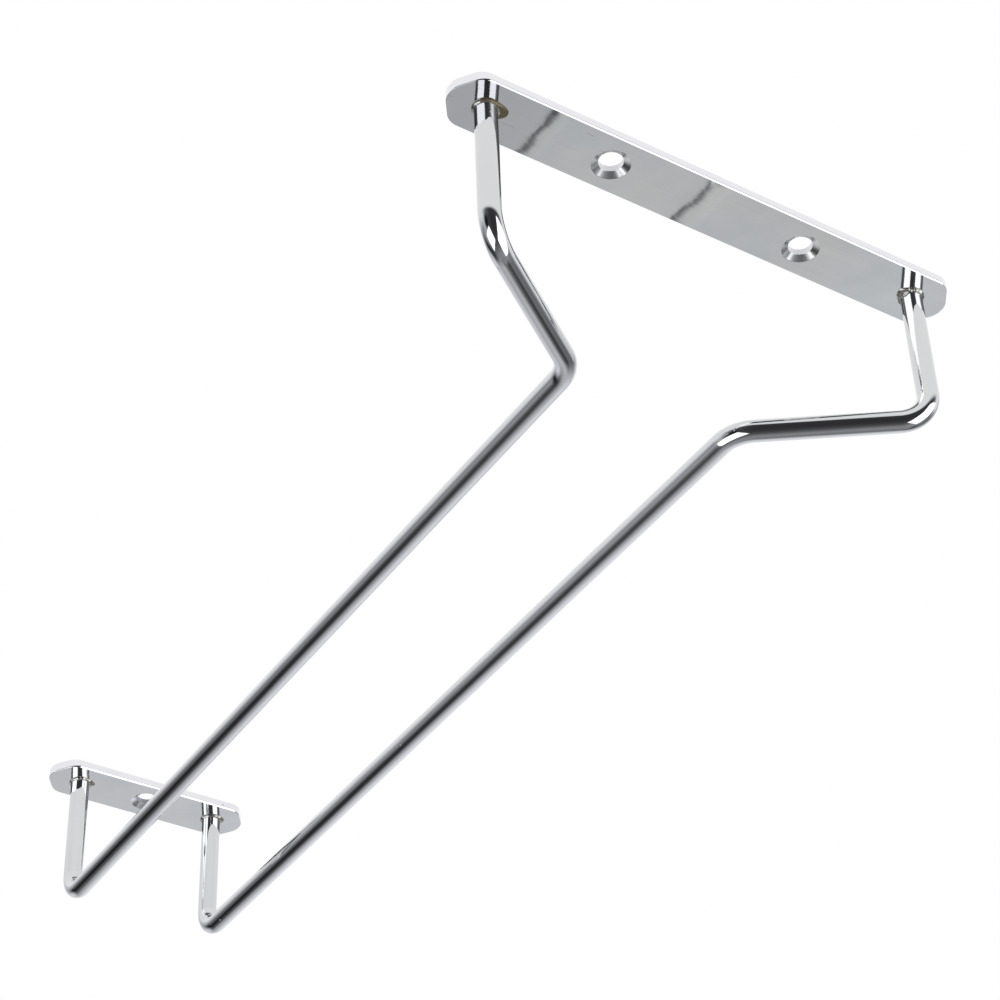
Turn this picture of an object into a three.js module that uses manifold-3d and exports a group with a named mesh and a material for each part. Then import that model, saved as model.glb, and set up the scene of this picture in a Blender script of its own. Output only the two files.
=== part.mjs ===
// Hanging wine glass rack with one channel, made of chromed steel wire and flat bar.
// Millimetres. The tops of the two mounting plates lie in z = 0, under the shelf, +Z is up,
// X runs along the plates and Y runs from the front plate back along the rails.
import * as THREE from 'three';
import { mergeVertices } from 'three/addons/utils/BufferGeometryUtils.js';
import Module from 'manifold-3d';

const wasm = await Module();
wasm.setup();

// Rods: round wire, one bent piece on each side
const rodDiameter = 5;
const frontLegSpacing = 112; // between the front legs' centre lines
const railSpacingFront = 42; // between the rails' centre lines where the flare ends
const railSpacingRear = 40; // the rails draw together a little towards the back
const legRowDistance = 270; // from the front legs back to the rear legs
const railDrop = 36; // from the underside of the plates down to the rails' centre lines
const flareDepth = 25; // how far the glass is led in before the rails run straight
const kneeBendRadius = 7; // centre line radius where a front leg turns into its flare
const flareBendRadius = 9; // centre line radius where a flare turns into its rail
const heelBendRadius = 9; // centre line radius where a rail turns up into its rear leg

// Plates: flat bar with rolled edges
const plateWidth = 14.5;
const plateThickness = 2.5;
const plateOverhang = 8.7; // from a leg's centre line out to the plate's end
const edgeRounding = 0.6; // the bar's rolled edges
const clipLength = 4; // the clipped corners, along the plate
const clipWidth = 5.6; // and across it
const clipRounding = 4.2; // where a clip meets the plate's end and its long edge

// Countersunk screw holes, wide end down
const screwSpacing = 50; // the two holes of the front plate
const screwHoleDiameter = 5.5;
const countersinkDiameter = 8.5;
const countersinkDepth = 0.9; // a flat cone of about 118 degrees

// Weld beads round the tops of the legs
const weldReach = 0.7; // out from the leg, along the plate
const weldHeight = 0.7; // down the leg
const weldClearance = 0.1; // between the bead's bore and the leg

// One overrun for every cutting tool
const overrun = 2;

// Facet counts
const rodSides = 24;
const kneeSteps = 12;
const flareSteps = 8;
const edgeSteps = 4;
const clipSteps = 5;
const holeSides = 48;
const weldSides = 32;
const weldSteps = 5;

const rodRadius = rodDiameter / 2;
const railHeight = -plateThickness - railDrop;

const chromedBar = new THREE.MeshStandardMaterial({ color: 0xb9bcc1, roughness: 0.14, metalness: 1 });
const chromedWire = new THREE.MeshStandardMaterial({ color: 0xc9ccd0, roughness: 0.08, metalness: 1 });
const chromedWeld = new THREE.MeshStandardMaterial({ color: 0x9b8f7c, roughness: 0.4, metalness: 0.9 });

// Points and directions of travel along the arc that rounds one corner of a line of straights.
function bend(before, corner, after, radius, steps) {
  const arriving = corner.clone().sub(before).normalize();
  const leaving = after.clone().sub(corner).normalize();
  const turn = arriving.angleTo(leaving);
  const axis = arriving.clone().cross(leaving).normalize();
  const towardsCentre = axis.clone().cross(arriving);
  const centre = corner.clone()
    .addScaledVector(arriving, -radius * Math.tan(turn / 2))
    .addScaledVector(towardsCentre, radius);
  return Array.from({ length: steps + 1 }, (_, i) => {
    const angle = turn * i / steps;
    const spoke = towardsCentre.clone().negate().applyAxisAngle(axis, angle);
    return {
      point: centre.clone().addScaledVector(spoke, radius),
      travel: arriving.clone().applyAxisAngle(axis, angle),
    };
  });
}

// A line of straights and arcs that is sampled at its own stations: none along a straight,
// one at each step of an arc.
class BentLine extends THREE.Curve {
  constructor(corners, radii, steps) {
    super();
    const last = corners.length - 1;
    const arcs = radii.map((radius, i) => bend(corners[i], corners[i + 1], corners[i + 2], radius, steps[i]));
    this.stations = [
      { point: corners[0], travel: corners[1].clone().sub(corners[0]).normalize() },
      ...arcs.flat(),
      { point: corners[last], travel: corners[last].clone().sub(corners[last - 1]).normalize() },
    ];
    this.steps = this.stations.length - 1;
  }

  getPointAt(share, target = new THREE.Vector3()) {
    return target.copy(this.stations[Math.round(share * this.steps)].point);
  }

  getTangentAt(share, target = new THREE.Vector3()) {
    return target.copy(this.stations[Math.round(share * this.steps)].travel);
  }
}

function toSolid(geometry) {
  const bare = geometry.clone();
  bare.deleteAttribute('normal');
  bare.deleteAttribute('uv');
  const merged = mergeVertices(bare);
  return new wasm.Manifold(new wasm.Mesh({
    numProp: 3,
    vertProperties: new Float32Array(merged.attributes.position.array),
    triVerts: new Uint32Array(merged.index.array),
  }));
}

function toGeometry(solid) {
  const mesh = solid.getMesh();
  const geometry = new THREE.BufferGeometry();
  geometry.setAttribute('position', new THREE.BufferAttribute(mesh.vertProperties, 3));
  geometry.setIndex(new THREE.BufferAttribute(mesh.triVerts, 1));
  const faceted = geometry.toNonIndexed();
  faceted.computeVertexNormals();
  return faceted;
}

function named(name, geometry, material, x, y, z) {
  const mesh = new THREE.Mesh(geometry, material);
  mesh.name = name;
  mesh.position.set(x, y, z);
  return mesh;
}

// One rod: down the front leg, in along the flare, back along the rail and up the rear leg.
// side is -1 on the left and 1 on the right.
function rodGeometry(side) {
  const frontX = side * frontLegSpacing / 2;
  const railFrontX = side * railSpacingFront / 2;
  const railRearX = side * railSpacingRear / 2;
  const corners = [
    new THREE.Vector3(frontX, 0, -plateThickness),
    new THREE.Vector3(frontX, 0, railHeight),
    new THREE.Vector3(railFrontX, flareDepth, railHeight),
    new THREE.Vector3(railRearX, legRowDistance, railHeight),
    new THREE.Vector3(railRearX, legRowDistance, -plateThickness),
  ];
  const centreLine = new BentLine(
    corners,
    [kneeBendRadius, flareBendRadius, heelBendRadius],
    [kneeSteps, flareSteps, kneeSteps],
  );
  const section = new THREE.Shape().absarc(0, 0, rodRadius, 0, 2 * Math.PI);
  return new THREE.ExtrudeGeometry(section, {
    steps: centreLine.steps,
    curveSegments: rodSides / 2,
    extrudePath: centreLine,
    bevelEnabled: false,
  });
}

// The flat bar's section, y across the plate and z up, with all four edges rolled.
function barSection() {
  const half = plateWidth / 2;
  const corners = [
    [half, -plateThickness], [half, 0], [-half, 0], [-half, -plateThickness],
  ].map(([y, z]) => new THREE.Vector3(y, z, 0));
  const rounding = Math.min(edgeRounding, plateThickness / 2, half);
  return roundedOutline(corners, rounding, edgeSteps);
}

// The plate seen from above: a bar whose corners are clipped, then rounded on both sides of the clip.
function plateOutline(halfLength) {
  const halfWidth = plateWidth / 2;
  const endX = halfLength;
  const clipX = halfLength - clipLength;
  const clipY = halfWidth - clipWidth;
  const corners = [
    [clipX, -halfWidth], [endX, -clipY], [endX, clipY], [clipX, halfWidth],
    [-clipX, halfWidth], [-endX, clipY], [-endX, -clipY], [-clipX, -halfWidth],
  ].map(([x, y]) => new THREE.Vector3(x, y, 0));
  const endTurn = Math.atan2(clipLength, clipWidth);
  const sideTurn = Math.atan2(clipWidth, clipLength);
  const endUse = Math.tan(endTurn / 2);
  const sideUse = Math.tan(sideTurn / 2);
  const clipSide = Math.hypot(clipLength, clipWidth);
  const rounding = Math.min(clipRounding, clipY / endUse, clipSide / (endUse + sideUse));
  return roundedOutline(corners, rounding, clipSteps);
}

// A closed outline through the corners, all rounded by one radius.
function roundedOutline(corners, radius, steps) {
  const count = corners.length;
  const points = corners.flatMap((corner, i) => {
    const before = corners[(i + count - 1) % count];
    const after = corners[(i + 1) % count];
    return bend(before, corner, after, radius, steps).map(({ point }) => point);
  });
  return new THREE.Shape(points.map(({ x, y }) => new THREE.Vector2(x, y)));
}

// The tool that cuts one screw hole: the through hole above the countersink's cone.
function screwHoleTool() {
  const holeRadius = screwHoleDiameter / 2;
  const sinkRadius = countersinkDiameter / 2;
  const slope = (sinkRadius - holeRadius) / countersinkDepth;
  const profile = [
    [0, -plateThickness - overrun],
    [sinkRadius + slope * overrun, -plateThickness - overrun],
    [holeRadius, -plateThickness + countersinkDepth],
    [holeRadius, overrun],
    [0, overrun],
  ].map(([r, z]) => new THREE.Vector2(r, z));
  return new THREE.LatheGeometry(profile, holeSides).rotateX(Math.PI / 2);
}

// A plate: the bar cut to its outline, then drilled and countersunk from below.
function plateGeometry(legSpacing, screwPlaces) {
  const halfLength = legSpacing / 2 + plateOverhang;
  const barLength = 2 * (halfLength + overrun);
  const alongX = new THREE.Matrix4().makeBasis(
    new THREE.Vector3(0, 1, 0), new THREE.Vector3(0, 0, 1), new THREE.Vector3(1, 0, 0),
  );
  const bar = new THREE.ExtrudeGeometry(barSection(), { depth: barLength, bevelEnabled: false })
    .translate(0, 0, -barLength / 2)
    .applyMatrix4(alongX);
  const cutterHeight = plateThickness + 2 * overrun;
  const cutter = new THREE.ExtrudeGeometry(plateOutline(halfLength), { depth: cutterHeight, bevelEnabled: false })
    .translate(0, 0, -plateThickness - overrun);
  let plate = toSolid(bar).intersect(toSolid(cutter));
  for (const x of screwPlaces) {
    plate = plate.subtract(toSolid(screwHoleTool().translate(x, 0, 0)));
  }
  return toGeometry(plate);
}

// A weld bead: a ring round the leg with a full, rounded face, flat against the plate.
function weldGeometry() {
  const bore = rodRadius + weldClearance;
  const reach = weldReach - weldClearance;
  const face = Array.from({ length: weldSteps + 1 }, (_, i) => {
    const angle = Math.PI / 2 * i / weldSteps;
    return new THREE.Vector2(bore + reach * Math.sin(angle), -weldHeight * Math.cos(angle));
  });
  const profile = [new THREE.Vector2(bore, 0), ...face, new THREE.Vector2(bore, 0)];
  return new THREE.LatheGeometry(profile, weldSides).rotateX(Math.PI / 2);
}

const rack = new THREE.Group();

rack.add(named(
  'front_plate', plateGeometry(frontLegSpacing, [-screwSpacing / 2, screwSpacing / 2]), chromedBar, 0, 0, 0,
));
rack.add(named('rear_plate', plateGeometry(railSpacingRear, [0]), chromedBar, 0, legRowDistance, 0));

for (const [hand, side] of [['left', -1], ['right', 1]]) {
  rack.add(named(`${hand}_rod`, rodGeometry(side), chromedWire, 0, 0, 0));
  const frontX = side * frontLegSpacing / 2;
  const rearX = side * railSpacingRear / 2;
  rack.add(named(`front_${hand}_weld`, weldGeometry(), chromedWeld, frontX, 0, -plateThickness));
  rack.add(named(`rear_${hand}_weld`, weldGeometry(), chromedWeld, rearX, legRowDistance, -plateThickness));
}

export default rack;
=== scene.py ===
import math

import bmesh
import bpy
from mathutils import Matrix, Vector
from mathutils.geometry import delaunay_2d_cdt


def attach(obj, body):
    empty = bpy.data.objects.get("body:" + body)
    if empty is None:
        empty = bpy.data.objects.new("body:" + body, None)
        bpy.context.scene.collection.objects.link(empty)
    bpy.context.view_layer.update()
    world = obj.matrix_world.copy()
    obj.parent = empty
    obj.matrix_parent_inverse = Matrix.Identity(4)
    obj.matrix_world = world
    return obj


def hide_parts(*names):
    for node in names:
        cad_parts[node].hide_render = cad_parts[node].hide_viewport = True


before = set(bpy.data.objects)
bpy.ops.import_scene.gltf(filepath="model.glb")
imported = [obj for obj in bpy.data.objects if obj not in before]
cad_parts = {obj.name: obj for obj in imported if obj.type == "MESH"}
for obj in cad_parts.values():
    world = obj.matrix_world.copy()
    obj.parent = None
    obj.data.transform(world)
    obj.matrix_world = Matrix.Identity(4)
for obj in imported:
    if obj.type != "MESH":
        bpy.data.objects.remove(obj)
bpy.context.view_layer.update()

MM = 0.001

# Wire: one bent rod on each side
WIRE_RADIUS = 2.5 * MM
LEG_OUT = 56 * MM
RAIL_OUT_FRONT = 21 * MM
RAIL_OUT_REAR = 20 * MM
LEG_ROW_DISTANCE = 270 * MM
# The rails' centre lines, below the plates' tops
RAIL_HEIGHT = -38.5 * MM
FLARE_DEPTH = 25 * MM
KNEE_BEND = 7 * MM
FLARE_BEND = 9 * MM
HEEL_BEND = 6.5 * MM
WIRE_SIDES = 64
BEND_POINTS = 28
# The wire's cut ends stay sharp: edges that turn more than this aren't shaded smooth
SHARP_EDGE = math.radians(50)

# Bar: two plates of one stock
BAR_WIDTH = 14.5 * MM
BAR_THICKNESS = 2.5 * MM
OVERHANG = 8.7 * MM
ROLLED_EDGE = 0.6 * MM
# The lower edges are rolled wider by this share, and meet the flat underside at a crease
UNDERSIDE_SHARE = 1.35
UNDERSIDE_CREASE = math.radians(46)
SHEARED_EDGE = 0.22 * MM
CLIP_LENGTH = 4 * MM
CLIP_WIDTH = 5.6 * MM
CLIP_ROUND = 4.2 * MM
CLIP_STEPS = 16
ROLL_STEPS = 10
# The photographed undersides mirror as if they leaned this much towards +X and +Y at the middle,
# in degrees, and bowed by this much per metre along X. Only their shading leans, not their shape.
FRONT_LEAN = (-2.1, 4.0, -25.0)
REAR_LEAN = (0.0, -4.5, 0.0)

# Screw holes, countersunk from below
SCREW_OUT = 25 * MM
HOLE_RADIUS = 2.75 * MM
SINK_RADIUS = 4.25 * MM
SINK_DEPTH = 0.9 * MM
# How the hole's edges are rounded: where the cone starts, where it ends, and at the top
SINK_LIP = 0.18 * MM
SINK_FOOT = 0.08 * MM
HOLE_TOP_LIP = 0.1 * MM
LIP_STEPS = 4
# How rough the drill left each surface: the underside, the cone, the bore and the top. A value above 1 also
# paints shade into that surface's colour.
FRONT_DRILLING = (0.0, 0.3, 1.0, 0.0)
REAR_DRILLING_AND_BORE_SHADE = (0.0, 0.5, 2.0, 0.0)
HOLE_SIDES = 128

# Weld beads
BEAD_BORE = 2.45 * MM
BEAD_REACH = 0.55 * MM
BEAD_HEIGHT = 0.62 * MM
BEAD_POINTS_ROUND = 97
BEAD_POINTS_OVER = 19
# The way over a bead, from 0 to 1: first its face, then back along the plate, then up the bore
FACE_END = 0.8
BACK_END = 0.9


# Node helpers

def link_value(tree, socket, value):
    """Feeds a socket from another socket, or sets it."""
    if isinstance(value, bpy.types.NodeSocket):
        tree.links.new(value, socket)
    else:
        socket.default_value = value


def add_node(tree, kind, settings=None, **inputs):
    node = tree.nodes.new(kind)
    for key, value in (settings or {}).items():
        setattr(node, key, value)
    for key, value in inputs.items():
        link_value(tree, node.inputs[key.replace("_", " ")], value)
    return node


def maths(tree, operation, *values, clamp=False):
    node = tree.nodes.new("ShaderNodeMath")
    node.operation = operation
    node.use_clamp = clamp
    for socket, value in zip(node.inputs, values):
        link_value(tree, socket, value)
    return node.outputs[0]


def weighted_sum(tree, base, *terms):
    """The base plus each value times its weight."""
    total = base
    for value, weight in terms:
        total = maths(tree, "MULTIPLY_ADD", value, weight, total)
    return total


def blend_in(tree, base, cover, share):
    """The cover where the share is 1, and the base where it is 0."""
    return maths(tree, "ADD", maths(tree, "MULTIPLY", share, cover), maths(
        tree, "MULTIPLY", base, maths(tree, "SUBTRACT", 1.0, share)))


def vector_maths(tree, operation, *values):
    node = tree.nodes.new("ShaderNodeVectorMath")
    node.operation = operation
    for socket, value in zip(node.inputs, values):
        link_value(tree, socket, value)
    return node.outputs["Value" if operation in ("DOT_PRODUCT", "LENGTH") else "Vector"]


def combine(tree, x, y, z):
    return add_node(tree, "ShaderNodeCombineXYZ", X=x, Y=y, Z=z).outputs[0]


def smooth_range(tree, value, low, high, out_low=0.0, out_high=1.0):
    node = tree.nodes.new("ShaderNodeMapRange")
    node.interpolation_type = "SMOOTHSTEP"
    for key, item in (("Value", value), ("From Min", low), ("From Max", high),
                      ("To Min", out_low), ("To Max", out_high)):
        link_value(tree, node.inputs[key], item)
    return node.outputs["Result"]


def noise(tree, vector, scale, detail=3.0, roughness=0.55, distortion=0.0):
    return add_node(tree, "ShaderNodeTexNoise", Vector=vector, Scale=scale, Detail=detail,
                    Roughness=roughness, Distortion=distortion).outputs["Fac"]


def mix_colour(tree, factor, first, second):
    node = tree.nodes.new("ShaderNodeMix")
    node.data_type = "RGBA"
    link_value(tree, node.inputs["Factor"], factor)
    link_value(tree, node.inputs[6], first)
    link_value(tree, node.inputs[7], second)
    return node.outputs[2]


# Finishes

# Tints of the chrome, set so that the render has the photograph's tones. The wire and the bars
# each run between two tints.
WIRE_TINTS = ((0.65, 0.657, 0.667, 1), (0.686, 0.69, 0.692, 1))
WIRE_SPECK = (0.3, 0.29, 0.28, 1)
BAR_TINTS = ((0.631, 0.652, 0.647, 1), (0.684, 0.685, 0.652, 1))
# Painted light on the bars' upright sides
BAR_SIDE_PAINTED_LIGHT = (0.82, 0.82, 0.85, 1)
# The colour of the painted shade in the rear bore
BAR_BORE_SHADE = (0.4, 0.42, 0.46, 1)
BAR_MARK = (0.34, 0.33, 0.32, 1)
# Painted shade and painted light along a bar, standing in for the tones its underside mirrors: place along
# X, then shade
BAR_PAINTED_SHADES = [(-52 * MM, 0.87), (-34 * MM, 1.03), (20 * MM, 1.03), (62 * MM, 1.18)]
# Painted light: the rear bar's colour is made brighter and a little cooler than the front bar's, standing
# in for the stronger light on it
REAR_PAINTED_LIGHT = (1.165, 1.17, 1.2, 1)
WELD_BRIGHT = (0.50, 0.49, 0.46, 1)
WELD_SCORCHED = (0.215, 0.185, 0.12, 1)
WHITE = (1, 1, 1, 1)


def start_finish(name):
    material = bpy.data.materials.new(name)
    material.use_nodes = True
    tree = material.node_tree
    tree.nodes.clear()
    shader = tree.nodes.new("ShaderNodeBsdfPrincipled")
    shader.inputs["Metallic"].default_value = 1.0
    output = tree.nodes.new("ShaderNodeOutputMaterial")
    tree.links.new(shader.outputs[0], output.inputs["Surface"])
    return material, tree, shader


def pits(tree, place, spacing, size, share):
    """Small round pits: 1 inside a pit and 0 outside it. share is the part of the cells that hold one."""
    cells = add_node(tree, "ShaderNodeTexVoronoi", Vector=place, Scale=1 / spacing)
    pit = smooth_range(tree, cells.outputs["Distance"], size * 0.4, size, 1.0, 0.0)
    draw = add_node(tree, "ShaderNodeSeparateColor", Color=cells.outputs["Color"]).outputs[0]
    return maths(tree, "MULTIPLY", pit, maths(tree, "LESS_THAN", draw, share))


def hairlines(tree, place, stretch, scale, low, high):
    """Fine scratches: bands of noise that is stretched along one direction."""
    mapped = add_node(tree, "ShaderNodeMapping", Vector=place, Scale=stretch).outputs[0]
    return smooth_range(tree, noise(tree, mapped, scale, detail=2.0, roughness=0.5), low, high)


def bump(tree, height, depth, after=None):
    node = add_node(tree, "ShaderNodeBump", Strength=1.0, Distance=depth, Height=height)
    if after is not None:
        tree.links.new(after, node.inputs["Normal"])
    return node.outputs["Normal"]


def chromed_wire_finish():
    material, tree, shader = start_finish("chromed_wire")
    place = add_node(tree, "ShaderNodeAttribute", {"attribute_name": "wire_place"}).outputs["Vector"]
    draw_lines = hairlines(tree, place, stretch=(1400.0, 1400.0, 25.0), scale=1.0, low=0.35, high=0.75)
    cloud = noise(tree, place, scale=70.0)
    specks = pits(tree, place, spacing=4.5 * MM, size=0.06, share=0.3)
    tree.links.new(weighted_sum(tree, 0.02, (draw_lines, 0.015), (cloud, 0.03)),
                   shader.inputs["Roughness"])
    tint = mix_colour(tree, cloud, *WIRE_TINTS)
    tree.links.new(mix_colour(tree, specks, tint, WIRE_SPECK), shader.inputs["Base Color"])
    slow = bump(tree, noise(tree, place, scale=38.0, detail=1.0), 0.05 * MM)
    fine = bump(tree, draw_lines, 0.004 * MM, after=slow)
    tree.links.new(bump(tree, specks, -0.05 * MM, after=fine), shader.inputs["Normal"])
    return material


def bar_tint_and_painted_light(tree, place):
    """The bar's colour: patchy towards the middle, with painted shade and painted light along the bar,
    painted light on the rear bar and painted light on its sides.
    """
    along, back, _ = add_node(tree, "ShaderNodeSeparateXYZ", Vector=place).outputs
    blotches = noise(tree, place, scale=48.0, detail=4.0, roughness=0.65, distortion=0.6)
    patches = smooth_range(tree, blotches, 0.3, 0.72)
    middle = smooth_range(tree, maths(tree, "ABSOLUTE", along), 25 * MM, 50 * MM, 1.0, 0.35)
    tint = mix_colour(tree, maths(tree, "MULTIPLY", patches, middle), *BAR_TINTS)
    # Painted shade towards the left end and painted light towards the right end of each bar
    shade = BAR_PAINTED_SHADES[0][1]
    for (start, before), (end, after) in zip(BAR_PAINTED_SHADES, BAR_PAINTED_SHADES[1:]):
        shade = maths(tree, "ADD", shade, smooth_range(tree, along, start, end, 0.0, after - before))
    painted_along_bar = vector_maths(tree, "MULTIPLY", tint, combine(tree, shade, shade, shade))
    # Both plates share this finish, and the space between them has no bar in it. The rear bar gets painted
    # light, brighter and cooler.
    rear = smooth_range(tree, back, 100 * MM, 200 * MM)
    flat = vector_maths(tree, "MULTIPLY", painted_along_bar, mix_colour(tree, rear, WHITE, REAR_PAINTED_LIGHT))
    # Painted light: the more a face stands upright, the paler its colour, standing in for the brighter
    # light its sides mirror
    normal = tree.nodes.new("ShaderNodeNewGeometry").outputs["Normal"]
    upright = add_node(tree, "ShaderNodeSeparateXYZ", Vector=normal).outputs[2]
    side = maths(tree, "SUBTRACT", 1.0, maths(tree, "ABSOLUTE", upright), clamp=True)
    return mix_colour(tree, side, flat, BAR_SIDE_PAINTED_LIGHT)


def chromed_bar_finish():
    material, tree, shader = start_finish("chromed_bar")
    place = tree.nodes.new("ShaderNodeTexCoord").outputs["Object"]
    drilled = add_node(tree, "ShaderNodeAttribute", {"attribute_name": "drilled"}).outputs["Fac"]
    cloud = noise(tree, place, scale=90.0, detail=4.0, roughness=0.6)
    rolling = hairlines(tree, place, stretch=(30.0, 900.0, 900.0), scale=1.0, low=0.4, high=0.8)
    torn = maths(tree, "MINIMUM", drilled, 1.0)
    tree.links.new(weighted_sum(tree, 0.045, (cloud, 0.04), (rolling, 0.02), (torn, 0.4)),
                   shader.inputs["Roughness"])
    specks = pits(tree, place, spacing=6.5 * MM, size=0.05, share=0.35)
    scratches = hairlines(tree, place, stretch=(60.0, 700.0, 60.0), scale=1.6, low=0.735, high=0.775)
    marks = maths(tree, "MAXIMUM", specks, maths(tree, "MULTIPLY", scratches, 0.35))
    # Above 1, the drilled value paints shade into the bore: a darker, bluer colour stands in for the shade
    # inside the rear hole
    painted_bore_shade = smooth_range(tree, drilled, 1.0, 2.0)
    bored = mix_colour(tree, painted_bore_shade, bar_tint_and_painted_light(tree, place), BAR_BORE_SHADE)
    tree.links.new(mix_colour(tree, marks, bored, BAR_MARK), shader.inputs["Base Color"])
    slow = bump(tree, noise(tree, place, scale=110.0, detail=1.0), 0.075 * MM)
    fine = bump(tree, rolling, 0.003 * MM, after=slow)
    tree.links.new(bump(tree, marks, -0.03 * MM, after=fine), shader.inputs["Normal"])
    return material


def chromed_weld_finish():
    material, tree, shader = start_finish("chromed_weld")
    place = tree.nodes.new("ShaderNodeTexCoord").outputs["Object"]
    heat = add_node(tree, "ShaderNodeAttribute", {"attribute_name": "scorch"}).outputs["Fac"]
    grain = noise(tree, place, scale=700.0)
    # A weak heat stains only where the grain is high, and leaves the rest bright
    strong = maths(tree, "MINIMUM", maths(tree, "MULTIPLY", heat, 1.5), 1.0)
    caught = smooth_range(tree, maths(tree, "ADD", grain, heat), 0.95, 1.4)
    stain = maths(tree, "MULTIPLY", strong, caught, clamp=True)
    tree.links.new(mix_colour(tree, stain, WELD_BRIGHT, WELD_SCORCHED), shader.inputs["Base Color"])
    tree.links.new(weighted_sum(tree, 0.12, (grain, 0.2), (stain, 0.35)), shader.inputs["Roughness"])
    tree.links.new(bump(tree, grain, 0.08 * MM), shader.inputs["Normal"])
    return material


wire_finish = chromed_wire_finish()
bar_finish = chromed_bar_finish()
weld_finish = chromed_weld_finish()


# Geometry node helpers

def start_tree(name, sizes):
    """A geometry tree with one named input for each size, and the outlet for its geometry."""
    tree = bpy.data.node_groups.new(name, "GeometryNodeTree")
    tree.interface.new_socket("Geometry", in_out="INPUT", socket_type="NodeSocketGeometry")
    tree.interface.new_socket("Geometry", in_out="OUTPUT", socket_type="NodeSocketGeometry")
    for label, kind in sizes:
        tree.interface.new_socket(label, in_out="INPUT", socket_type=kind)
    inlet = tree.nodes.new("NodeGroupInput")
    outlet = tree.nodes.new("NodeGroupOutput")
    return tree, inlet.outputs, outlet.inputs[0]


def end_tree(tree, geometry, material, outlet):
    real = add_node(tree, "GeometryNodeRealizeInstances", Geometry=geometry)
    dressed = add_node(tree, "GeometryNodeSetMaterial", Geometry=real.outputs[0], Material=material)
    tree.links.new(dressed.outputs[0], outlet)


def grow(name, tree, values):
    """Runs a tree with its inputs set and returns the plain mesh as an object."""
    empty_mesh = bpy.data.meshes.new(name + "_start")
    starter = bpy.data.objects.new(name + "_start", empty_mesh)
    bpy.context.collection.objects.link(starter)
    modifier = starter.modifiers.new("shape", "NODES")
    modifier.node_group = tree
    keys = {item.name: item.identifier for item in tree.interface.items_tree
            if item.item_type == "SOCKET" and item.in_out == "INPUT"}
    for label, value in values.items():
        modifier[keys[label]] = value
    bpy.context.view_layer.update()
    depsgraph = bpy.context.evaluated_depsgraph_get()
    mesh = bpy.data.meshes.new_from_object(starter.evaluated_get(depsgraph),
                                           preserve_all_data_layers=True, depsgraph=depsgraph)
    bpy.data.objects.remove(starter)
    bpy.data.meshes.remove(empty_mesh)
    mesh.name = name
    piece = bpy.data.objects.new(name, mesh)
    bpy.context.collection.objects.link(piece)
    return piece


def pick(tree, kind, items):
    """An Index Switch over the items, by the element's own index."""
    node = tree.nodes.new("GeometryNodeIndexSwitch")
    node.data_type = kind
    while len(node.index_switch_items) < len(items):
        node.index_switch_items.new()
    tree.links.new(tree.nodes.new("GeometryNodeInputIndex").outputs[0], node.inputs[0])
    for socket, value in zip(list(node.inputs)[1:], items):
        link_value(tree, socket, value)
    return node.outputs[0]


def store(tree, geometry, name, kind, value):
    return add_node(tree, "GeometryNodeStoreNamedAttribute",
                    {"data_type": kind, "domain": "POINT"},
                    Geometry=geometry, Name=name, Value=value).outputs[0]


def stored(tree, name, kind):
    return add_node(tree, "GeometryNodeInputNamedAttribute", {"data_type": kind}, Name=name).outputs[0]


# Rods

ROD_SIZES = [(label, "NodeSocketFloat") for label in (
    "Side", "Wire radius", "Leg out", "Rail out front", "Rail out rear", "Leg row distance",
    "Top height", "Rail height", "Flare depth", "Knee bend", "Flare bend", "Heel bend")] + [
    ("Wire sides", "NodeSocketInt"), ("Bend points", "NodeSocketInt"),
    ("Finish", "NodeSocketMaterial")]


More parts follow.
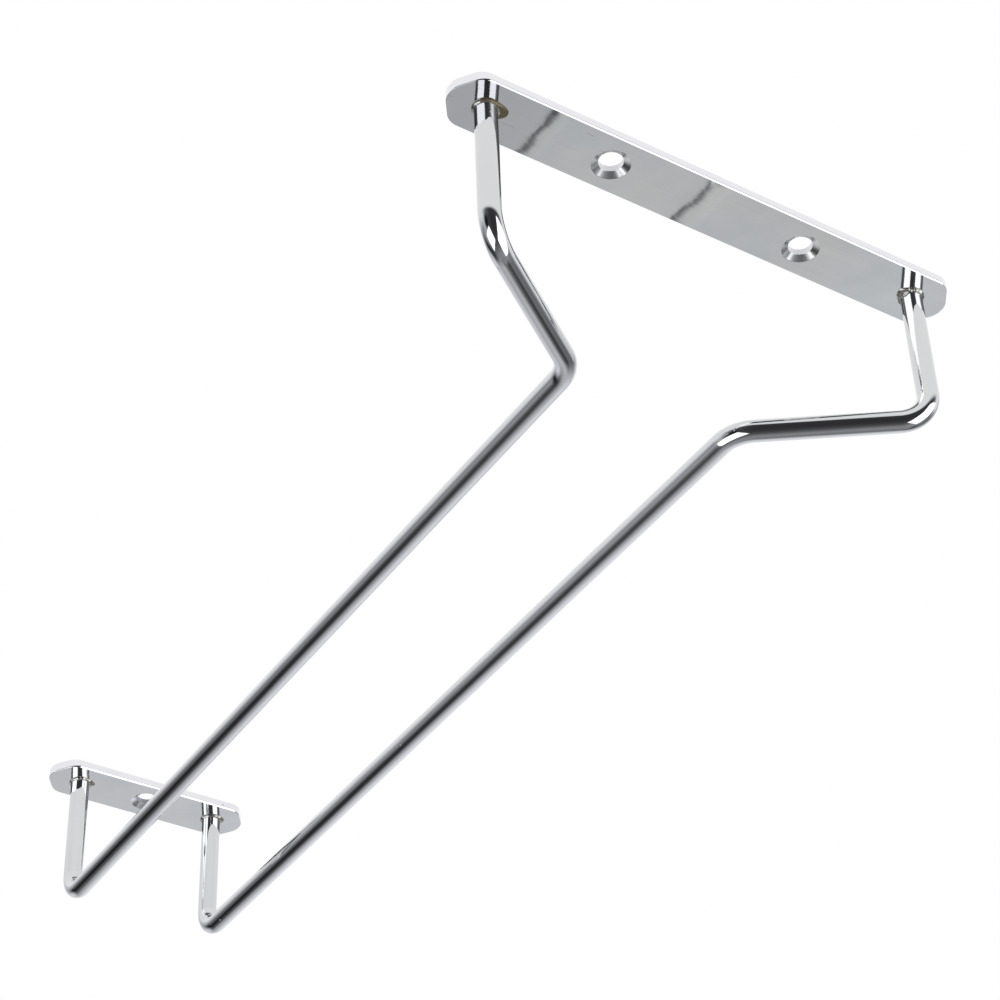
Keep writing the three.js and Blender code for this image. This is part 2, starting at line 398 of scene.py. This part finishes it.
def build_rod_tree():
    """A round wire along a line of five points whose three inner corners are bent. wire_place holds
    each point's place in the wire's own section and, as its z, the length of wire up to it."""
    tree, size, outlet = start_tree("bent_rod", ROD_SIZES)

    def out(label):
        return maths(tree, "MULTIPLY", size["Side"], size[label])

    points = add_node(tree, "GeometryNodeMeshLine", Count=5)
    places = pick(tree, "VECTOR", [
        combine(tree, out("Leg out"), 0.0, size["Top height"]),
        combine(tree, out("Leg out"), 0.0, size["Rail height"]),
        combine(tree, out("Rail out front"), size["Flare depth"], size["Rail height"]),
        combine(tree, out("Rail out rear"), size["Leg row distance"], size["Rail height"]),
        combine(tree, out("Rail out rear"), size["Leg row distance"], size["Top height"]),
    ])
    radii = pick(tree, "FLOAT", [0.0, size["Knee bend"], size["Flare bend"], size["Heel bend"], 0.0])
    placed = add_node(tree, "GeometryNodeSetPosition", Geometry=points.outputs[0], Position=places)
    marked = store(tree, placed.outputs[0], "bend", "FLOAT", radii)
    line = add_node(tree, "GeometryNodeMeshToCurve", Mesh=marked)
    bent = add_node(tree, "GeometryNodeFilletCurve", Curve=line.outputs[0],
                    Radius=stored(tree, "bend", "FLOAT"), Limit_Radius=False)
    # The mode is an input in some versions of the node, and a setting in the others
    if "Mode" in bent.inputs:
        bent.inputs["Mode"].default_value = "Poly"
    else:
        bent.mode = "POLY"
    tree.links.new(size["Bend points"], bent.inputs["Count"])

    length = tree.nodes.new("GeometryNodeSplineParameter").outputs["Length"]
    travelled = store(tree, bent.outputs[0], "travelled", "FLOAT", length)
    ring = add_node(tree, "GeometryNodeCurvePrimitiveCircle",
                    Resolution=size["Wire sides"], Radius=size["Wire radius"])
    round_place = tree.nodes.new("GeometryNodeInputPosition").outputs[0]
    ring_marked = store(tree, ring.outputs[0], "round_place", "FLOAT_VECTOR", round_place)
    swept = add_node(tree, "GeometryNodeCurveToMesh", Curve=travelled,
                     Profile_Curve=ring_marked, Fill_Caps=True)
    wire_place = vector_maths(tree, "ADD", stored(tree, "round_place", "FLOAT_VECTOR"),
                              combine(tree, 0.0, 0.0, stored(tree, "travelled", "FLOAT")))
    mapped = store(tree, swept.outputs[0], "wire_place", "FLOAT_VECTOR", wire_place)

    smooth = add_node(tree, "GeometryNodeSetShadeSmooth", {"domain": "FACE"}, Geometry=mapped)
    angle = tree.nodes.new("GeometryNodeInputMeshEdgeAngle").outputs[0]
    turns = add_node(tree, "FunctionNodeCompare", {"operation": "GREATER_THAN"}, A=angle, B=SHARP_EDGE)
    sharp = add_node(tree, "GeometryNodeSetShadeSmooth", {"domain": "EDGE"},
                     Geometry=smooth.outputs[0], Selection=turns.outputs[0], Shade_Smooth=False)
    end_tree(tree, sharp.outputs[0], size["Finish"], outlet)
    return tree


rod_tree = build_rod_tree()


def make_rod(hand, side):
    return grow(f"{hand}_rod_wire", rod_tree, {
        "Side": float(side), "Wire radius": WIRE_RADIUS, "Leg out": LEG_OUT,
        "Rail out front": RAIL_OUT_FRONT, "Rail out rear": RAIL_OUT_REAR,
        "Leg row distance": LEG_ROW_DISTANCE, "Top height": -BAR_THICKNESS,
        "Rail height": RAIL_HEIGHT, "Flare depth": FLARE_DEPTH, "Knee bend": KNEE_BEND,
        "Flare bend": FLARE_BEND, "Heel bend": HEEL_BEND, "Wire sides": WIRE_SIDES,
        "Bend points": BEND_POINTS, "Finish": wire_finish})


# Weld beads

BEAD_SIZES = [(label, "NodeSocketFloat") for label in (
    "Centre X", "Centre Y", "Plate height", "Bore", "Reach", "Height", "Flash angle",
    "Flash reach", "Lumps", "Seed", "Heat", "Heat angle")] + [("Finish", "NodeSocketMaterial")]


def build_bead_tree():
    """A lumpy ring round the leg, with one longer tongue of flash. It is a grid wrapped round:
    the grid's x runs round the leg, and its y runs over the bead's face and back along the plate."""
    tree, size, outlet = start_tree("weld_bead", BEAD_SIZES)
    sheet = add_node(tree, "GeometryNodeMeshGrid", Size_X=1.0, Size_Y=1.0,
                     Vertices_X=BEAD_POINTS_ROUND, Vertices_Y=BEAD_POINTS_OVER)
    flat = add_node(tree, "ShaderNodeSeparateXYZ",
                    Vector=tree.nodes.new("GeometryNodeInputPosition").outputs[0])
    angle = maths(tree, "MULTIPLY", maths(tree, "ADD", flat.outputs[0], 0.5), 2 * math.pi)
    over = maths(tree, "ADD", flat.outputs[1], 0.5)
    circle = combine(tree, maths(tree, "COSINE", angle), maths(tree, "SINE", angle), size["Seed"])
    coarse = noise(tree, circle, scale=1.3, detail=2.0)
    fine = noise(tree, circle, scale=4.5, detail=2.0)
    lump = maths(tree, "MULTIPLY", size["Lumps"], maths(
        tree, "ADD", maths(tree, "MULTIPLY", maths(tree, "SUBTRACT", coarse, 0.5), 1.6),
        maths(tree, "MULTIPLY", maths(tree, "SUBTRACT", fine, 0.5), 0.7)))
    towards = maths(tree, "COSINE", maths(tree, "SUBTRACT", angle, size["Flash angle"]))
    tongue = maths(tree, "MULTIPLY", size["Flash reach"], maths(
        tree, "POWER", maths(tree, "MAXIMUM", towards, 0.0), 6.0))
    reach = maths(tree, "ADD", maths(tree, "MULTIPLY", size["Reach"], maths(tree, "ADD", 1.0, lump)),
                  tongue)
    tall = maths(tree, "MULTIPLY", size["Height"], maths(
        tree, "ADD", 1.0, maths(tree, "MULTIPLY", lump, 0.6)))
    swing = maths(tree, "MULTIPLY", maths(tree, "MINIMUM", over, FACE_END), math.pi / 2 / FACE_END)
    back = smooth_range(tree, over, FACE_END, BACK_END)
    share_out = maths(tree, "MULTIPLY", maths(tree, "SINE", swing), maths(tree, "SUBTRACT", 1.0, back))
    climb = smooth_range(tree, over, BACK_END, 1.0)
    share_down = maths(tree, "MAXIMUM", maths(tree, "POWER", maths(tree, "MAXIMUM", maths(
        tree, "COSINE", swing), 0.0), 1.3), climb)
    radius = maths(tree, "ADD", size["Bore"], maths(tree, "MULTIPLY", reach, share_out))
    down = maths(tree, "SUBTRACT", size["Plate height"], maths(tree, "MULTIPLY", tall, share_down))
    place = combine(
        tree,
        maths(tree, "ADD", size["Centre X"], maths(tree, "MULTIPLY", radius, maths(tree, "COSINE", angle))),
        maths(tree, "ADD", size["Centre Y"], maths(tree, "MULTIPLY", radius, maths(tree, "SINE", angle))),
        down)
    facing = maths(tree, "COSINE", maths(tree, "SUBTRACT", angle, size["Heat angle"]))
    heat = maths(tree, "MULTIPLY", smooth_range(tree, share_out, 0.0, 0.35),
                 smooth_range(tree, facing, -0.75, -0.1, 0.0, size["Heat"]))
    hot = store(tree, sheet.outputs[0], "scorch", "FLOAT", heat)
    ring = add_node(tree, "GeometryNodeSetPosition", Geometry=hot, Position=place)
    closed = add_node(tree, "GeometryNodeMergeByDistance", Geometry=ring.outputs[0], Distance=1e-6)
    smooth = add_node(tree, "GeometryNodeSetShadeSmooth", {"domain": "FACE"}, Geometry=closed.outputs[0])
    end_tree(tree, smooth.outputs[0], size["Finish"], outlet)
    return tree


bead_tree = build_bead_tree()


def make_bead(name, x, y, flash_angle, flash_reach, lumps, heat, heat_angle, seed):
    bead = grow(name, bead_tree, {
        "Centre X": x, "Centre Y": y, "Plate height": -BAR_THICKNESS, "Bore": BEAD_BORE,
        "Reach": BEAD_REACH, "Height": BEAD_HEIGHT, "Flash angle": math.radians(flash_angle),
        "Flash reach": flash_reach, "Lumps": lumps, "Seed": seed,
        "Heat": heat, "Heat angle": math.radians(heat_angle), "Finish": weld_finish})
    shell = bmesh.new()
    shell.from_mesh(bead.data)
    bmesh.ops.recalc_face_normals(shell, faces=shell.faces)
    shell.to_mesh(bead.data)
    shell.free()
    return bead


# Plates

def corner_arc(before, corner, after, radius, steps):
    """Points on the arc that rounds a corner of a plan outline, each with its outward normal."""
    arriving = (corner - before).normalized()
    leaving = (after - corner).normalized()
    turn = arriving.angle_signed(leaving)
    outward = Vector((arriving.y, -arriving.x))
    hub = corner - arriving * radius * math.tan(abs(turn) / 2) - outward * radius
    found = []
    for i in range(steps + 1):
        normal = outward.copy()
        normal.rotate(Matrix.Rotation(abs(turn) * i / steps, 2))
        found.append((hub + normal * radius, normal))
    return found


def plate_rim(half_length):
    """The plan outline, counter-clockwise: point, outward normal and edge rounding of each station.
    The long edges are rolled and the ends and clips are sheared, and the rounding runs from one to
    the other along the arcs between them."""
    half_width = BAR_WIDTH / 2
    clip_x, clip_y = half_length - CLIP_LENGTH, half_width - CLIP_WIDTH
    corners = [Vector(c) for c in (
        (clip_x, -half_width), (half_length, -clip_y), (half_length, clip_y), (clip_x, half_width),
        (-clip_x, half_width), (-half_length, clip_y), (-half_length, -clip_y), (-clip_x, -half_width))]
    leaves_long_edge, reaches_long_edge = (0, 4), (3, 7)
    stations = []
    for i, corner in enumerate(corners):
        before, after = corners[i - 1], corners[(i + 1) % len(corners)]
        for j, (point, normal) in enumerate(corner_arc(before, corner, after, CLIP_ROUND, CLIP_STEPS)):
            share = j / CLIP_STEPS
            if i in leaves_long_edge:
                rounding = ROLLED_EDGE + (SHEARED_EDGE - ROLLED_EDGE) * share
            elif i in reaches_long_edge:
                rounding = ROLLED_EDGE + (SHEARED_EDGE - ROLLED_EDGE) * (1 - share)
            else:
                rounding = SHEARED_EDGE
            stations.append((point, normal, rounding))
    return stations


def hole_profile(drilling):
    """The screw hole's section from the underside to the top: radius and height, normal, and
    how rough the drill left it, which above 1 also paints shade into the bore."""
    slope = math.atan2(SINK_RADIUS - HOLE_RADIUS, SINK_DEPTH)
    corners = [
        (SINK_RADIUS, -BAR_THICKNESS, SINK_LIP),
        (HOLE_RADIUS, -BAR_THICKNESS + SINK_DEPTH, SINK_FOOT),
        (HOLE_RADIUS, 0.0, HOLE_TOP_LIP),
    ]
    normals = [(0.0, -1.0), (-math.cos(slope), -math.sin(slope)), (-1.0, 0.0), (0.0, 1.0)]
    profile = []
    for i, (r, z, radius) in enumerate(corners):
        first, second = Vector(normals[i]), Vector(normals[i + 1])
        turn = first.angle(second)
        bisector = (first + second).normalized()
        hub = Vector((r, z)) - bisector * radius / math.cos(turn / 2)
        for j in range(LIP_STEPS + 1):
            share = j / LIP_STEPS
            normal = first.slerp(second, share)
            drilled = drilling[i] + (drilling[i + 1] - drilling[i]) * share
            profile.append((hub + normal * radius, normal, drilled))
    return profile


class PlateSkin:
    """A plate's points and faces as they are laid down. Each face keeps its corners' normals."""

    def __init__(self):
        self.points, self.normals, self.drilled = [], [], []
        self.faces, self.face_normals = [], []

    def add_ring(self, stations, drilled=0.0):
        start = len(self.points)
        for point, normal in stations:
            self.points.append(point)
            self.normals.append(normal)
            self.drilled.append(drilled)
        return list(range(start, len(self.points)))

    def add_face(self, face, normals):
        self.faces.append(tuple(face))
        self.face_normals.append(normals)

    def join_rings(self, rings):
        """Joins each ring to the next one, in the order given."""
        for lower, upper in zip(rings, rings[1:]):
            for i in range(len(lower)):
                k = (i + 1) % len(lower)
                face = (lower[i], lower[k], upper[k], upper[i])
                self.add_face(face, [self.normals[v] for v in face])

    def to_object(self, name):
        mesh = bpy.data.meshes.new(name)
        mesh.from_pydata(self.points, [], self.faces)
        mesh.polygons.foreach_set("use_smooth", [True] * len(mesh.polygons))
        mesh.attributes.new("drilled", "FLOAT", "POINT").data.foreach_set("value", self.drilled)
        mesh.validate()
        mesh.normals_split_custom_set([n for group in self.face_normals for n in group])
        mesh.materials.append(bar_finish)
        piece = bpy.data.objects.new(name, mesh)
        bpy.context.collection.objects.link(piece)
        return piece


def add_side(skin, rim, centre_y):
    """Lays rings up a plate's side, and returns its lowest and its highest ring."""
    rings = []
    for level, up, crease, widening in ((-BAR_THICKNESS, -1, UNDERSIDE_CREASE, UNDERSIDE_SHARE),
                                        (0.0, 1, 0.0, 1.0)):
        swings = [crease + (math.pi / 2 - crease) * j / ROLL_STEPS for j in range(ROLL_STEPS + 1)]
        if up > 0:
            swings.reverse()
        for swing in swings:
            ring = []
            for point, normal, rounding in rim:
                radius = rounding * widening
                plan = point - normal * radius * (1 - math.sin(swing))
                height = level - up * radius * (math.cos(crease) - math.cos(swing))
                facing = Vector((normal.x * math.sin(swing), normal.y * math.sin(swing),
                                 up * math.cos(swing)))
                ring.append((Vector((plan.x, plan.y + centre_y, height)), facing))
            rings.append(skin.add_ring(ring))
    skin.join_rings(rings)
    return rings[0], rings[-1]


def add_hole(skin, screw, profile):
    """Lays rings up one screw hole, and returns its lowest and its highest ring."""
    rings = []
    for flat, facing, drilled in profile:
        ring = []
        for i in range(HOLE_SIDES):
            turn = 2 * math.pi * i / HOLE_SIDES
            spoke = Vector((math.cos(turn), math.sin(turn), 0))
            ring.append((Vector((screw.x, screw.y, 0)) + spoke * flat.x + Vector((0, 0, flat.y)),
                         spoke * facing.x + Vector((0, 0, facing.y))))
        rings.append(skin.add_ring(ring, drilled))
    for lower, upper in zip(rings, rings[1:]):
        skin.join_rings([upper, lower])
    return rings[0], rings[-1]


def add_flat(skin, outline, hole_rings, screws, hole_radius, normal_at, faces_down):
    """Fills a flat face inside its outline, and leaves the screw holes open."""
    loops = [outline] + hole_rings
    owners = [v for loop in loops for v in loop]
    edges, start = [], 0
    for loop in loops:
        count = len(loop)
        edges += [(start + i, start + (i + 1) % count) for i in range(count)]
        start += count
    found = delaunay_2d_cdt([skin.points[v].to_2d() for v in owners], edges, [], 1, 1e-9)
    flat_points, triangles, origins = found[0], found[2], found[3]
    owner_of = [owners[o[0]] if o else None for o in origins]
    just_inside = hole_radius * 0.999
    for triangle in triangles:
        middle = sum((flat_points[v] for v in triangle), Vector((0, 0))) / 3
        if any((middle - screw).length < just_inside for screw in screws):
            continue
        face = [owner_of[v] for v in triangle]
        if faces_down:
            face.reverse()
        skin.add_face(face, [normal_at(skin.points[v]) for v in face])


def make_plate(name, half_length, centre_y, screw_places, lean, drilling):
    """Rolled edges with a wall between them, and flat faces with the screw holes let in."""

    def underside_normal(point):
        lean_x = math.radians(lean[0] + lean[2] * point.x)
        return Vector((math.tan(lean_x), math.tan(math.radians(lean[1])), -1.0)).normalized()

    def top_normal(point):
        return Vector((0, 0, 1))

    skin = PlateSkin()
    lowest, highest = add_side(skin, plate_rim(half_length), centre_y)
    profile = hole_profile(drilling)
    screws = [Vector((x, centre_y)) for x in screw_places]
    holes = [add_hole(skin, screw, profile) for screw in screws]
    add_flat(skin, lowest, [low for low, high in holes], screws, profile[0][0].x,
             underside_normal, faces_down=True)
    add_flat(skin, highest, [high for low, high in holes], screws, profile[-1][0].x,
             top_normal, faces_down=False)
    return skin.to_object(name)


# The rack

def seat(piece, node):
    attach(piece, "root")
    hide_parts(node)


seat(make_plate("front_plate_bar", LEG_OUT + OVERHANG, 0.0, (-SCREW_OUT, SCREW_OUT),
                FRONT_LEAN, FRONT_DRILLING), "front_plate")
seat(make_plate("rear_plate_bar", RAIL_OUT_REAR + OVERHANG, LEG_ROW_DISTANCE, (0.0,),
                REAR_LEAN, REAR_DRILLING_AND_BORE_SHADE), "rear_plate")

for hand, side in (("left", -1), ("right", 1)):
    seat(make_rod(hand, side), f"{hand}_rod")

# Each bead's place, its tongue of flash, how lumpy it is and where heat stained it. Angles are in
# degrees from +X towards +Y.
BEADS = {
    "front_left": {"x": -LEG_OUT, "y": 0.0, "flash_angle": -14.0, "flash_reach": 1.9 * MM,
                   "lumps": 0.45, "heat": 1.0, "heat_angle": -35.0, "seed": 3.1},
    "front_right": {"x": LEG_OUT, "y": 0.0, "flash_angle": 190.0, "flash_reach": 1.1 * MM,
                    "lumps": 1.6, "heat": 0.62, "heat_angle": 205.0, "seed": 7.7},
    "rear_left": {"x": -RAIL_OUT_REAR, "y": LEG_ROW_DISTANCE, "flash_angle": -12.0,
                  "flash_reach": 0.9 * MM, "lumps": 0.8, "heat": 0.6, "heat_angle": -35.0,
                  "seed": 12.4},
    "rear_right": {"x": RAIL_OUT_REAR, "y": LEG_ROW_DISTANCE, "flash_angle": -25.0,
                   "flash_reach": 0.6 * MM, "lumps": 0.8, "heat": 0.6, "heat_angle": -35.0,
                   "seed": 19.9},
}
for name, facts in BEADS.items():
    seat(make_bead(f"{name}_weld_bead", **facts), f"{name}_weld")


# Studio

# The studio as the chrome sees it: a white ceiling, and soft glows and shades in a dark room.
# Azimuth is from +Y towards +X, both angles in degrees; then strength and sharpness.
# Most of these numbers weren't laid out by hand. Separate programs fitted the ceiling, the glows
# and the shades to tones measured in the photograph, and the names only say where each one lies.
# ROOM, DARKEST, ROOM_COLOUR, "doorway on the left", "dark behind the camera" and the strength of
# "foot of the stand" were set one by one.
CEILING = (196.5, 88.7)
CEILING_FROM, CEILING_TO = 0.387, 0.565
ROOM = 0.047
GLOWS = {
    "wall ahead": (38, 36, 1.2, 3.2),
    "wall on the left": (-55, 6, 1.44, 5.6),
    "gap ahead on the left": (-12, -10, 1.22, 17.0),
    "slit on the left": (-46, -5, 0.63, 32.0),
    "lamp on the right": (115, 17, 1.45, 25.0),
    "table on the right": (68, -37, 1.36, 4.1),
    "card on the table": (72, -55, 0.93, 38.0),
    "glint ahead": (5, -38, 0.12, 85.0),
}
SHADES = {
    "screen on the left": (-53, 0, 1.25, 21.0),
    "doorway on the left": (-92, -3, 0.55, 25.0),
    "corner ahead on the left": (-26, -6, 1.39, 12.0),
    "shelf ahead": (-8, -34, 0.26, 9.5),
    "stand on the right": (81, -22, 0.92, 8.2),
    "foot of the stand": (69, -52, 1.6, 18.0),
    "dark behind the camera": (-150, -10, 0.016, 2.0),
}
DARKEST = 0.015
# The room's own light is a little cooler than the ceiling's
ROOM_COLOUR = (0.98, 0.985, 1.035, 1.0)
# How strongly the studio lights what isn't glossy
SOFT_LIGHT = 0.75

# Two softboxes low on both sides of the camera: azimuth, elevation, half width, half
# height (as tangents) and strength.
SOFTBOXES = [
    (-87.0, -44.0, 0.475, 0.40, 2.15),
    (150.0, -20.0, 0.48, 0.70, 2.15),
]
SOFTBOX_EDGE = 0.05
# A look that points less than this towards a softbox misses it
SOFTBOX_AHEAD = 0.05

# The floor and the lamp, in metres, and the lamp's power in watts
FLOOR_HEIGHT = -1.0
FLOOR_RADIUS = 6.0
FLOOR_FADE_FROM, FLOOR_FADE_TO = 0.9, 3.5
FLOOR_TINT = (0.86, 0.86, 0.86, 1)
LAMP_PLACE = (-0.5, -0.2, 1.2)
LAMP_SIZE = 0.9
LAMP_POWER = 14.0

# The camera, in metres. A separate program fitted its place, axes and focal length to the rack's
# own lines in the photograph.
CAMERA_PLACE = (-0.263577, -0.314571, -0.406627)
CAMERA_RIGHT = (0.831383, -0.553020, -0.054512)
CAMERA_DOWN = (0.311849, 0.545501, -0.777932)
FOCAL_SHARE = 2.66782
SENSOR = 36.0
CAMERA_SHIFT = (-0.1, -0.01)


def heading(azimuth, elevation):
    a, e = math.radians(azimuth), math.radians(elevation)
    return (math.sin(a) * math.cos(e), math.cos(a) * math.cos(e), math.sin(e))


def softbox_share(tree, look, azimuth, elevation, half_width, half_height):
    """1 where the look falls on the softbox's face and 0 beside it."""
    ahead = vector_maths(tree, "DOT_PRODUCT", look, heading(azimuth, elevation))
    near = maths(tree, "MAXIMUM", ahead, SOFTBOX_AHEAD)
    share = maths(tree, "GREATER_THAN", ahead, SOFTBOX_AHEAD)
    tilt = elevation + 90 if elevation < 0 else elevation - 90
    for facing, half in ((heading(azimuth + 90, 0), half_width), (heading(azimuth, tilt), half_height)):
        out = maths(tree, "ABSOLUTE", maths(
            tree, "DIVIDE", vector_maths(tree, "DOT_PRODUCT", look, facing), near))
        share = maths(tree, "MULTIPLY", share, smooth_range(
            tree, out, half - SOFTBOX_EDGE, half + SOFTBOX_EDGE, 1.0, 0.0))
    return share


def room_light(tree, look):
    """The dark room with its glows, its shades and the two softboxes."""
    room = ROOM
    for operation, patches in (("ADD", GLOWS), ("SUBTRACT", SHADES)):
        for azimuth, elevation, strength, sharpness in patches.values():
            facing = vector_maths(tree, "DOT_PRODUCT", look, heading(azimuth, elevation))
            fall = maths(tree, "EXPONENT", maths(tree, "MULTIPLY", maths(
                tree, "SUBTRACT", facing, 1.0), sharpness))
            room = maths(tree, operation, room, maths(tree, "MULTIPLY", fall, strength))
    room = maths(tree, "MINIMUM", maths(tree, "MAXIMUM", room, DARKEST), 1.0)
    for azimuth, elevation, half_width, half_height, strength in SOFTBOXES:
        share = softbox_share(tree, look, azimuth, elevation, half_width, half_height)
        room = blend_in(tree, room, strength, share)
    return room


def build_studio():
    """Glossy rays see the studio, camera rays see plain white, and all others a soft white."""
    world = bpy.data.worlds.new("studio")
    bpy.context.scene.world = world
    world.use_nodes = True
    tree = world.node_tree
    tree.nodes.clear()
    look = tree.nodes.new("ShaderNodeTexCoord").outputs["Generated"]
    up = vector_maths(tree, "DOT_PRODUCT", look, heading(*CEILING))
    ceiling = smooth_range(tree, up, CEILING_FROM, CEILING_TO)
    seen = blend_in(tree, room_light(tree, look), 1.0, ceiling)

    path = tree.nodes.new("ShaderNodeLightPath")
    plain = maths(tree, "ADD", path.outputs["Is Camera Ray"], path.outputs["Is Transmission Ray"],
                  clamp=True)
    glossy = maths(tree, "MULTIPLY", path.outputs["Is Glossy Ray"], maths(
        tree, "SUBTRACT", 1.0, plain))
    soft = maths(tree, "SUBTRACT", 1.0, maths(tree, "ADD", plain, glossy, clamp=True))
    strength = maths(tree, "ADD", maths(tree, "ADD", plain, maths(tree, "MULTIPLY", glossy, seen)),
                     maths(tree, "MULTIPLY", soft, SOFT_LIGHT))
    cool = maths(tree, "MULTIPLY", glossy, maths(tree, "SUBTRACT", 1.0, ceiling))
    colour = mix_colour(tree, cool, WHITE, ROOM_COLOUR)
    background = add_node(tree, "ShaderNodeBackground", Color=colour, Strength=strength)
    output = tree.nodes.new("ShaderNodeOutputWorld")
    tree.links.new(background.outputs[0], output.inputs["Surface"])


def build_floor():
    """A pale round floor far below the rack, which fades into the white background."""
    bpy.ops.mesh.primitive_circle_add(vertices=128, radius=FLOOR_RADIUS, fill_type="NGON",
                                      location=(0, LEG_ROW_DISTANCE / 2, FLOOR_HEIGHT))
    floor = bpy.context.object
    floor.name = "floor"
    material = bpy.data.materials.new("pale_floor")
    material.use_nodes = True
    tree = material.node_tree
    tree.nodes.clear()
    matt = add_node(tree, "ShaderNodeBsdfDiffuse", Color=FLOOR_TINT)
    white = add_node(tree, "ShaderNodeEmission", Color=WHITE, Strength=1.0)
    far = smooth_range(tree, vector_maths(
        tree, "LENGTH", tree.nodes.new("ShaderNodeTexCoord").outputs["Object"]),
        FLOOR_FADE_FROM, FLOOR_FADE_TO)
    path = tree.nodes.new("ShaderNodeLightPath")
    fade = maths(tree, "MULTIPLY", far, maths(
        tree, "ADD", path.outputs["Is Camera Ray"], path.outputs["Is Transmission Ray"], clamp=True))
    blend = tree.nodes.new("ShaderNodeMixShader")
    tree.links.new(fade, blend.inputs[0])
    tree.links.new(matt.outputs[0], blend.inputs[1])
    tree.links.new(white.outputs[0], blend.inputs[2])
    output = tree.nodes.new("ShaderNodeOutputMaterial")
    tree.links.new(blend.outputs[0], output.inputs["Surface"])
    floor.data.materials.append(material)
    floor.visible_glossy = False


def build_lamp():
    """One broad soft lamp above, for the shadow on the floor."""
    data = bpy.data.lights.new("soft_lamp", "AREA")
    data.shape = "DISK"
    data.size = LAMP_SIZE
    data.energy = LAMP_POWER
    lamp = bpy.data.objects.new("soft_lamp", data)
    bpy.context.collection.objects.link(lamp)
    lamp.location = LAMP_PLACE
    aim = Vector((0, LEG_ROW_DISTANCE / 2, 0)) - lamp.location
    lamp.rotation_mode = "QUATERNION"
    lamp.rotation_quaternion = aim.to_track_quat("-Z", "Y")
    lamp.visible_glossy = False


def build_camera():
    data = bpy.data.cameras.new("camera")
    data.sensor_fit = "HORIZONTAL"
    data.sensor_width = SENSOR
    data.lens = FOCAL_SHARE * SENSOR
    data.shift_x, data.shift_y = CAMERA_SHIFT
    data.clip_start, data.clip_end = 0.01, 50.0
    camera = bpy.data.objects.new("camera", data)
    bpy.context.collection.objects.link(camera)
    right = Vector(CAMERA_RIGHT).normalized()
    down = Vector(CAMERA_DOWN)
    down = (down - right * down.dot(right)).normalized()
    ahead = right.cross(down)
    turn = Matrix((right, -down, -ahead)).transposed()
    camera.matrix_world = Matrix.Translation(CAMERA_PLACE) @ turn.to_4x4()
    bpy.context.scene.camera = camera


build_studio()
build_floor()
build_lamp()
build_camera()
bpy.context.scene.view_settings.view_transform = "Standard"
